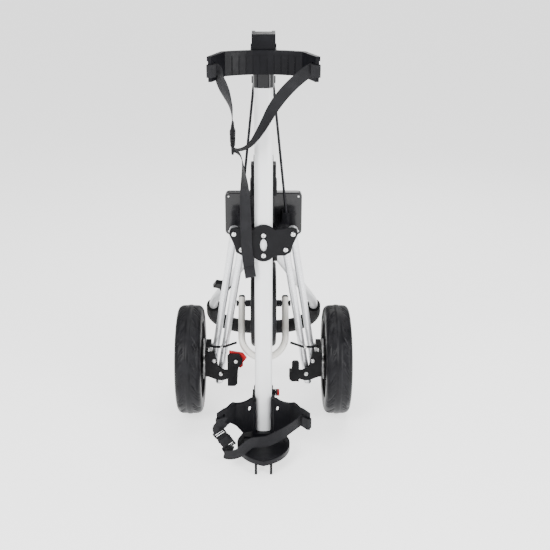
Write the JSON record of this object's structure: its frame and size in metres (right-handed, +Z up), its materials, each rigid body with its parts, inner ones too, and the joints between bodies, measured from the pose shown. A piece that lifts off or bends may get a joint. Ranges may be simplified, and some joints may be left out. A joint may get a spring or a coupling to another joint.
{
  "type": "golf push trolley",
  "caption": "Three-wheel golf push trolley, folded upright: tube frame, two bag cradles with straps, fold-out legs, folding front fork and handle.",
  "frame": {"origin": "centre of the folded trolley's outline on the floor that it stands on", "axes": "+Z up along the main tube, -Y towards the golf bag, +X to the right seen from the bag side"},
  "size_m": [0.436, 0.5565, 0.974],
  "materials": {
    "white_paint": "satin powder coat",
    "cream_paint": "satin powder coat",
    "silver_tube": "anodised",
    "bright_steel": "zinc plated",
    "dark_steel": "black oxide",
    "black_plastic": "moulded nylon",
    "gloss_black": "polished",
    "tyre_foam": "moulded EVA",
    "grip_foam": "closed cell foam",
    "webbing": "woven polypropylene",
    "red_plastic": "moulded",
    "clear_plastic": "smoked clear",
    "cable_sheath": "PVC"
  },
  "bodies": {
    "frame": {"main_tube": "white_paint", "tube_plug": "black_plastic", "head_collar": "gloss_black", "head_housing": "black_plastic", "head_pin": "dark_steel", "upper_cradle": "black_plastic", "lower_cradle": "black_plastic", "base_plate": "black_plastic", "bracket_front": "black_plastic", "bracket_rear": "black_plastic", "leg_pivot_bolts": "bright_steel", "frame_bolts": "bright_steel", "fork_mount": "black_plastic", "fork_pivot_pin": "dark_steel", "upper_strap": "webbing", "upper_buckle": "black_plastic", "lower_strap": "webbing", "lower_buckle": "black_plastic"},
    "fork_clamp_knob": {"fork_clamp_knob": "red_plastic"},
    "handle": {"hinge_knuckle": "black_plastic", "handle_column": "white_paint", "column_stays": "dark_steel", "console_neck": "black_plastic", "console_base": "gloss_black", "console_cover": "black_plastic", "handle_loop": "white_paint", "grip_foam": "grip_foam", "handle_yoke": "black_plastic", "arm_clip": "black_plastic"},
    "scorecard_clip": {"scorecard_clip": "clear_plastic"},
    "fork": {"fork_tube": "cream_paint", "fork_caps": "black_plastic", "fork_stem": "black_plastic", "front_axle": "dark_steel"},
    "front_wheel": {"front_wheel_rim": "black_plastic", "front_tyre": "tyre_foam", "front_wheel_bearings": "bright_steel"},
    "brake_pedal": {"brake_pedal": "red_plastic"},
    "left_outer_leg": {"left_outer_leg": "silver_tube", "left_outer_leg_eyes": "black_plastic"},
    "left_inner_leg": {"left_inner_leg": "silver_tube", "left_inner_leg_ends": "silver_tube"},
    "left_carrier": {"left_wheel_carrier": "black_plastic", "left_carrier_bolts": "bright_steel", "left_brake_cable": "cable_sheath"},
    "left_brake_pin": {"left_brake_pin": "bright_steel"},
    "left_wheel": {"left_wheel_rim": "black_plastic", "left_tyre": "tyre_foam", "left_wheel_bearings": "bright_steel"},
    "right_outer_leg": {"right_outer_leg": "silver_tube", "right_outer_leg_eyes": "black_plastic"},
    "right_inner_leg": {"right_inner_leg": "silver_tube", "right_inner_leg_ends": "silver_tube"},
    "right_carrier": {"right_wheel_carrier": "black_plastic", "right_carrier_bolts": "bright_steel", "right_brake_cable": "cable_sheath"},
    "right_brake_pin": {"right_brake_pin": "bright_steel"},
    "right_wheel": {"right_wheel_rim": "black_plastic", "right_tyre": "tyre_foam", "right_wheel_bearings": "bright_steel"}
  },
  "joints": [
    {"name": "handle_fold", "type": "hinge", "parent": "frame", "child": "handle", "pos_m": [0, -0.09175, 0.94], "axis": [1, 0, 0], "range_deg": [0, 145]},
    {"name": "scorecard_clip_lift", "type": "hinge", "parent": "handle", "child": "scorecard_clip", "pos_m": [0, -0.04875, 0.605], "axis": [1, 0, 0], "range_deg": [0, 110], "stiffness_Nm_per_rad": 0.02, "springref_deg": -34.38},
    {"name": "left_leg_fold", "type": "hinge", "parent": "frame", "child": "left_outer_leg", "pos_m": [-0.065, -0.14075, 0.548], "axis": [0, 1, 0], "range_deg": [0, 22]},
    {"name": "right_leg_fold", "type": "hinge", "parent": "frame", "child": "right_outer_leg", "pos_m": [0.065, -0.14075, 0.548], "axis": [0, 1, 0], "range_deg": [-22, 0]},
    {"name": "left_inner_leg_turn", "type": "hinge", "parent": "frame", "child": "left_inner_leg", "pos_m": [-0.049, -0.14075, 0.512], "axis": [0, 1, 0], "range_deg": [0, 22]},
    {"name": "right_inner_leg_turn", "type": "hinge", "parent": "frame", "child": "right_inner_leg", "pos_m": [0.049, -0.14075, 0.512], "axis": [0, 1, 0], "range_deg": [-22, 0]},
    {"name": "left_carrier_turn", "type": "hinge", "parent": "left_outer_leg", "child": "left_carrier", "pos_m": [-0.123, 0.00925, 0.167], "axis": [0, 1, 0], "range_deg": [-22, 0]},
    {"name": "right_carrier_turn", "type": "hinge", "parent": "right_outer_leg", "child": "right_carrier", "pos_m": [0.123, 0.00925, 0.167], "axis": [0, 1, 0], "range_deg": [0, 22]},
    {"name": "left_wheel_spin", "type": "hinge", "parent": "left_carrier", "child": "left_wheel", "pos_m": [-0.187, 0.04925, 0.14], "axis": [1, 0, 0], "continuous": true},
    {"name": "right_wheel_spin", "type": "hinge", "parent": "right_carrier", "child": "right_wheel", "pos_m": [0.187, 0.04925, 0.14], "axis": [1, 0, 0], "continuous": true},
    {"name": "brake_pedal_press", "type": "hinge", "parent": "left_carrier", "child": "brake_pedal", "pos_m": [-0.067, -0.05575, 0.191], "axis": [0, 1, 0], "range_deg": [0, 18]},
    {"name": "left_brake_pin_slide", "type": "slide", "parent": "left_carrier", "child": "left_brake_pin", "axis": [-1, 0, 0], "range_m": [0, 0.012]},
    {"name": "right_brake_pin_slide", "type": "slide", "parent": "right_carrier", "child": "right_brake_pin", "axis": [1, 0, 0], "range_m": [0, 0.012]},
    {"name": "fork_fold", "type": "hinge", "parent": "frame", "child": "fork", "pos_m": [0, -0.09775, 0.122], "axis": [1, 0, 0], "range_deg": [-155, 0]},
    {"name": "front_wheel_spin", "type": "hinge", "parent": "fork", "child": "front_wheel", "pos_m": [0, 0.03225, 0.302], "axis": [1, 0, 0], "continuous": true},
    {"name": "fork_clamp_turn", "type": "hinge", "parent": "frame", "child": "fork_clamp_knob", "pos_m": [0.034, -0.09775, 0.122], "axis": [1, 0, 0], "range_deg": [0, 180]}
  ],
  "couplings": [
    {"joint": "right_leg_fold", "follows": "left_leg_fold", "ratio": -1},
    {"joint": "left_inner_leg_turn", "follows": "left_leg_fold", "ratio": 1},
    {"joint": "right_inner_leg_turn", "follows": "left_leg_fold", "ratio": -1},
    {"joint": "left_carrier_turn", "follows": "left_leg_fold", "ratio": -1},
    {"joint": "right_carrier_turn", "follows": "left_leg_fold", "ratio": 1},
    {"joint": "left_brake_pin_slide", "follows": "brake_pedal_press", "m_per_rad": 0.03788},
    {"joint": "right_brake_pin_slide", "follows": "brake_pedal_press", "m_per_rad": 0.03788}
  ]
}
